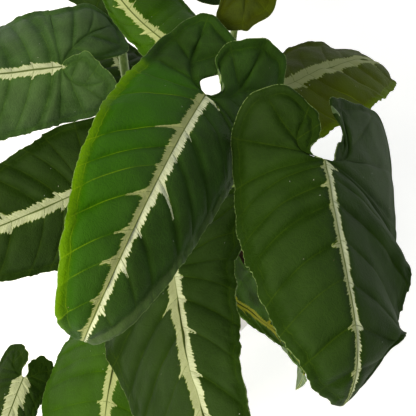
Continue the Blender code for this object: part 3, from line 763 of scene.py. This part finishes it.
def stalk_path(name, leaf):
    """Stalk's centre line as a curve: straight out of the soil, then arching to the blade."""
    base, forward, _, up = axes(leaf)
    end = base + forward * TOP_AHEAD - up * TOP_UNDER
    foot = np.array([*np.array(leaf["foot"]) * MM, SOIL_LEVEL - FOOT_DEPTH])
    start = foot + [0, 0, FOOT_DEPTH + FOOT_SHOWS]
    reach = np.linalg.norm(end - start)
    lean = start + [0, 0, 0.45 * reach]
    under = end - up * 0.30 * reach + [*np.array(leaf["bow"]) * MM, 0]
    t = np.linspace(0, 1, 30)[:, None]
    arch = ((1 - t) ** 3 * start + 3 * t * (1 - t) ** 2 * lean
            + 3 * t ** 2 * (1 - t) * under + t ** 3 * end)
    points = np.vstack([foot, arch])
    curve = bpy.data.curves.new(name, "CURVE")
    curve.dimensions = "3D"
    line = curve.splines.new("POLY")
    line.points.add(len(points) - 1)
    for point, co in zip(line.points, points):
        point.co = (*co, 1)
    made = bpy.data.objects.new(name, curve)
    bpy.context.scene.collection.objects.link(made)
    return made


def leaf_cuticle(name, deep, fresh, lit, silver, lit_silver, sheen, gloss, crest_highlight):
    """Living leaf, upper side: velvety cells over green tissue, air-filled silver cells along the
    midrib that break up into a comb of fine teeth, and sunken veins."""
    made, tree, shader = finish_start(name)
    fact = {key: node(tree, "ShaderNodeAttribute", attribute_name=key).outputs["Fac"]
            for key in BLADE_FACTS}
    flat = node(tree, "ShaderNodeMapping", node(tree, "ShaderNodeUVMap", uv_map="flat"),
                Scale=(FLAT_MAP / MM,) * 3)
    comb = node(tree, "ShaderNodeCombineXYZ", fact["comb"],
                node(tree, "ShaderNodeMath", fact["rib"], 0.10, operation="MULTIPLY"),
                node(tree, "ShaderNodeMath", fact["pale"], 9.0, operation="MULTIPLY"))
    teeth = node(tree, "ShaderNodeTexNoise", comb, Scale=1.7, Detail=1.5)
    bits = node(tree, "ShaderNodeTexNoise", flat, Scale=1.1, Detail=2.0)
    cloud = node(tree, "ShaderNodeTexNoise", flat, Scale=0.10, Detail=3.0)
    mottle = node(tree, "ShaderNodeTexNoise", flat, Scale=0.8, Detail=4.0)
    net = node(tree, "ShaderNodeTexVoronoi", flat, feature="DISTANCE_TO_EDGE", Scale=0.42)
    dust = node(tree, "ShaderNodeTexVoronoi", flat, Scale=0.17)
    cells = node(tree, "ShaderNodeTexVoronoi", flat, Scale=2.6)

    # Teeth and bits eat into the edge of the silver, and mottling makes the margin uneven
    bitten = node(tree, "ShaderNodeMath", teeth, 2.6, -1.3, operation="MULTIPLY_ADD")
    bitten = node(tree, "ShaderNodeMath", bits, 1.0, bitten, operation="MULTIPLY_ADD")
    bitten = node(tree, "ShaderNodeMath", bitten, 0.5, operation="SUBTRACT")
    inside = node(tree, "ShaderNodeMath", fact["silver"], bitten, operation="ADD")
    uneven = node(tree, "ShaderNodeMath", mottle, 2.4, -1.2, operation="MULTIPLY_ADD")
    from_rim = node(tree, "ShaderNodeMath", fact["rim"], uneven, operation="ADD")
    from_vein = node(tree, "ShaderNodeMath", fact["rim"], MARGIN_VEIN, operation="SUBTRACT")
    from_vein = node(tree, "ShaderNodeMath", from_vein, operation="ABSOLUTE")
    # How much of the lit colour each point takes: painted light, as if light came through the
    # tissue, a little mottled
    speckled = node(tree, "ShaderNodeMath", mottle, 0.5, operation="SUBTRACT")
    lit_share = node(tree, "ShaderNodeMath", speckled, 0.25, fact["painted_light"], operation="MULTIPLY_ADD",
                use_clamp=True)

    # Soft masks: what each follows, from where to where, and its strength at the two ends. shines
    # follows the painted light, so the bright strip along the margin is painted light too, and lime
    # makes the veins' own lighter colour stronger under the painted light
    ranges = dict(
        silver=(inside, -0.06, 0.14), fringe=(inside, -0.35, 0.20),
        halo=(inside, -0.35, 0.20, 0.0, 0.6), streak=(teeth, 0.38, 0.60, 0.30, 0.0),
        younger=(cloud, 0.35, 0.65), patch=(cloud, 0.30, 0.62),
        crest=(fact["crest"], 0.15, 1.05, 0.0, crest_highlight),
        margin=(from_rim, 0.8, 5.2, 0.46, 0.0), shines=(fact["painted_light"], 0.3, 1.0),
        rolled=(from_rim, 3.4, 5.4, 0.20, 0.0), vein=(fact["vein"], 0.06, 0.34, 1.0, 0.0),
        margin_vein=(from_vein, 0.05, 0.32, 0.8, 0.0), lit_veins=(fact["painted_light"], 0.2, 0.9, 0.05, 0.41),
        web=(net, 0.0, 0.10, 0.10, 0.0), web_groove=(net, 0.0, 0.10, 0.35, 0.0),
        rim=(fact["rim"], 0.06, 0.34, 0.6, 0.0), dry=(bits, 0.30, 0.60),
        crossing=(fact["vein"], 0.06, 0.24, 0.68, 0.0), gap=(bits, 0.36, 0.50),
        middle=(fact["rib"], 0.08, 0.36, 0.85, 0.0))
    mask = {key: node(tree, "ShaderNodeMapRange", *feeds, interpolation_type="SMOOTHSTEP")
            for key, feeds in ranges.items()}
    mask["roll"] = fact["roll"]
    for key, operation, other in (
            ("margin", "MULTIPLY", "shines"), ("rolled", "MULTIPLY", "roll"),
            ("vein", "MAXIMUM", "margin_vein"), ("lit_veins", "MULTIPLY", "patch"),
            ("vein", "MULTIPLY", "lit_veins"), ("rim", "MULTIPLY", "dry"),
            ("crossing", "MULTIPLY", "gap"), ("middle", "MAXIMUM", "crossing"),
            ("middle", "MULTIPLY", "fringe")):
        mask[key] = node(tree, "ShaderNodeMath", mask[key], mask[other], operation=operation)
    speck = node(tree, "ShaderNodeMath", dust, 0.030, operation="LESS_THAN")
    speck = node(tree, "ShaderNodeMath", speck, 0.6, operation="MULTIPLY")
    fair = node(tree, "ShaderNodeMath", bits, 0.5, operation="GREATER_THAN")

    # Tints laid over one another, each where its mask is. The lit colour and the bright margin
    # strip are painted light, the crest tint is a painted highlight on the puffed panels, and the
    # rolled tint is a painted highlight along a rolled-back margin
    dust_tint = node(tree, "ShaderNodeMix", fair, data_type="RGBA", A="#A08468", B="#C9CFC0")
    # The silver is brightened by painted light on the half where it catches the light; the darker
    # streaks in it are its own
    for share, tint in ((fact["pale"], lit_silver), (mask["streak"], "#8A945C")):
        silver = node(tree, "ShaderNodeMix", share, data_type="RGBA", A=silver, B=tint)
    colour = deep
    for share, tint in (
            (mask["younger"], fresh), (lit_share, lit), (mask["crest"], "#5A7048"),
            (mask["margin"], "#80AC00"), (mask["rolled"], "#6F8058"), (mask["vein"], "#8CAA14"),
            (mask["web"], lit), (mask["rim"], "#8FA765"), (mask["halo"], "#8FA82C"),
            (mask["silver"], silver), (mask["middle"], "#4C5E1C"), (speck, dust_tint)):
        colour = node(tree, "ShaderNodeMix", share, data_type="RGBA", A=colour, B=tint)

    height = node(tree, "ShaderNodeMath", cells, 0.5, mottle, operation="MULTIPLY_ADD")
    height = node(tree, "ShaderNodeMath", height, mask["web_groove"], operation="SUBTRACT")
    bump = node(tree, "ShaderNodeBump", Height=height, Strength=0.40, Distance=0.0005)
    rough = node(tree, "ShaderNodeMapRange", cloud, To_Min=gloss, To_Max=gloss + 0.14)
    node(tree, shader, Base_Color=colour, Normal=bump, Roughness=rough, Specular_IOR_Level=0.04,
         Sheen_Weight=sheen, Sheen_Roughness=0.45, Sheen_Tint="#C9DCE6")
    return made


def leaf_underside(name, tissue, ridge):
    """Living leaf, underside: paler and duller, with its veins standing proud."""
    made, tree, shader = finish_start(name)
    vein, rib = [node(tree, "ShaderNodeAttribute", attribute_name=key).outputs["Fac"]
                 for key in ("vein", "rib")]
    net = node(tree, "ShaderNodeTexVoronoi", node(tree, "ShaderNodeUVMap", uv_map="flat"),
               Scale=90.0)
    near = node(tree, "ShaderNodeMath", vein, rib, operation="MINIMUM")
    line = node(tree, "ShaderNodeMapRange", near, 0.25, 0.80, 1.0, 0.0,
                interpolation_type="SMOOTHSTEP")
    faint = node(tree, "ShaderNodeMath", net, 0.35, operation="MULTIPLY")
    for share in (faint, line):
        tissue = node(tree, "ShaderNodeMix", share, data_type="RGBA", A=tissue, B=ridge)
    bump = node(tree, "ShaderNodeBump", Height=net, Strength=0.25, Distance=0.0004)
    node(tree, shader, Base_Color=tissue, Normal=bump, Roughness=0.58)
    return made


def fresh_stalk():
    """Fleshy green stalk: pale, faintly streaked along its length, with a soft waxy shine."""
    made, tree, shader = finish_start("fleshy_stalk")
    place = node(tree, "ShaderNodeTexCoord").outputs["Object"]
    long = node(tree, "ShaderNodeMapping", place, Scale=(900, 900, 60))
    streak = node(tree, "ShaderNodeTexNoise", long, Scale=1.0, Detail=2.0)
    tint = node(tree, "ShaderNodeMix", streak, data_type="RGBA", A="#5D7A2E", B="#93A75E")
    bump = node(tree, "ShaderNodeBump", Height=streak, Strength=0.2, Distance=0.0002)
    node(tree, shader, Base_Color=tint, Normal=bump, Roughness=0.42)
    return made


# Upper sides: deep tissue, younger tissue, painted light where light would come through, the
# silver in painted shade and in painted light, then sheen, least roughness, and how strongly a
# painted highlight lightens the crests
CUTICLES = {
    "front": leaf_cuticle("velvet_leaf_front", "#233A0C", "#294412", "#306000",
                          "#A2A96E", "#D2D9B4", 0.01, 0.50, 0.08),
    "dark": leaf_cuticle("velvet_leaf_dark", "#1B2F04", "#213608", "#30500A",
                         "#98A072", "#C6CEA8", 0.01, 0.54, 0.09),
    "blue": leaf_cuticle("velvet_leaf_blue", "#2C4618", "#395624", "#587A3A",
                         "#A2AA80", "#C6CEA8", 0.08, 0.54, 0.34),
    "bright": leaf_cuticle("satin_leaf_young", "#2A4A00", "#305300", "#3E6C00",
                           "#9CA668", "#B4BE84", 0.01, 0.46, 0.10),
    "olive": leaf_cuticle("velvet_leaf_olive", "#363E04", "#3E4A06", "#4C5A02",
                          "#80885A", "#8E9664", 0.01, 0.56, 0.08),
    "young": leaf_cuticle("satin_leaf_narrow", "#2E4800", "#3E6400", "#588400",
                          "#A8A41A", "#A8A41A", 0.01, 0.46, 0.05),
}
UNDERSIDE = leaf_underside("leaf_underside", "#435F2A", "#8FA468")
STALK = stalk_tree(fresh_stalk())

for number, (leaf_name, given) in enumerate(LEAVES.items()):
    leaf = {**LEAF, **given}
    finishes = [CUTICLES[leaf["finish"]], UNDERSIDE]
    blade = leaf_blade(leaf_name + "_grown", leaf, finishes, 100 + number)
    path = stalk_path(leaf_name + "_path", leaf)
    grow_with(blade, STALK, **{"Path": path, "Foot Radius": STALK_FOOT * leaf["stalk"],
                               "Top Radius": STALK_TOP * leaf["stalk"]})
    bpy.data.objects.remove(path)
    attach(blade, "root")
    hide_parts(leaf_name)

# Studio. A pale sweep under soft light from the left front, with cool fill from the
# right and behind, and the camera above and in front of the plant.

FLOOR_SIZE = 6.0
KEY = dict(place=(-0.95, -0.75, 1.25), size=0.9, power=30.0, tint="#FFF6E4")
FILL = dict(place=(1.2, 0.9, 1.1), size=1.4, power=6.0, tint="#ECF3FF")
CAMERA_TARGET = (0.008, -0.072, 0.2136)
CAMERA_DISTANCE = 0.45
CAMERA_TILT = 30.0
VIEW_WIDTH = 0.160
SENSOR = 36.0

paper, paper_tree, paper_shader = finish_start("studio_paper")
node(paper_tree, paper_shader, Base_Color="#FBFBFA", Roughness=0.9, Emission_Color="#FFFFFF",
     Emission_Strength=0.52)
corners = [(FLOOR_SIZE * x, FLOOR_SIZE * y, 0) for x, y in ((-1, -1), (1, -1), (1, 1), (-1, 1))]
floor = mesh_piece("floor", corners, [(0, 1, 2, 3)], [paper])


def soft_light(name, place, size, power, tint):
    """Square area light that faces the plant."""
    lamp = bpy.data.lights.new(name, "AREA")
    lamp.size = size
    lamp.energy = power
    lamp.color = linear(tint)[:3]
    made = bpy.data.objects.new(name, lamp)
    made.location = place
    aim = np.array(CAMERA_TARGET) - np.array(place)
    made.rotation_euler = (math.atan2(math.hypot(aim[0], aim[1]), -aim[2]), 0,
                           math.atan2(aim[1], aim[0]) - math.pi / 2)
    bpy.context.scene.collection.objects.link(made)


soft_light("key", **KEY)
soft_light("fill", **FILL)
world = bpy.data.worlds.new("studio")
world.use_nodes = True
node(world.node_tree, world.node_tree.nodes["Background"], Color="#F8F8F6", Strength=0.34)
bpy.context.scene.world = world
bpy.context.scene.view_settings.view_transform = "Standard"

camera = bpy.data.objects.new("camera", bpy.data.cameras.new("camera"))
tilt = math.radians(CAMERA_TILT)
camera.location = (CAMERA_TARGET[0], CAMERA_TARGET[1] - CAMERA_DISTANCE * math.sin(tilt),
                   CAMERA_TARGET[2] + CAMERA_DISTANCE * math.cos(tilt))
camera.rotation_euler = (tilt, 0, 0)
camera.data.sensor_width = SENSOR
camera.data.lens = SENSOR * CAMERA_DISTANCE / VIEW_WIDTH
camera.data.clip_start = 0.01
bpy.context.scene.collection.objects.link(camera)
bpy.context.scene.camera = camera
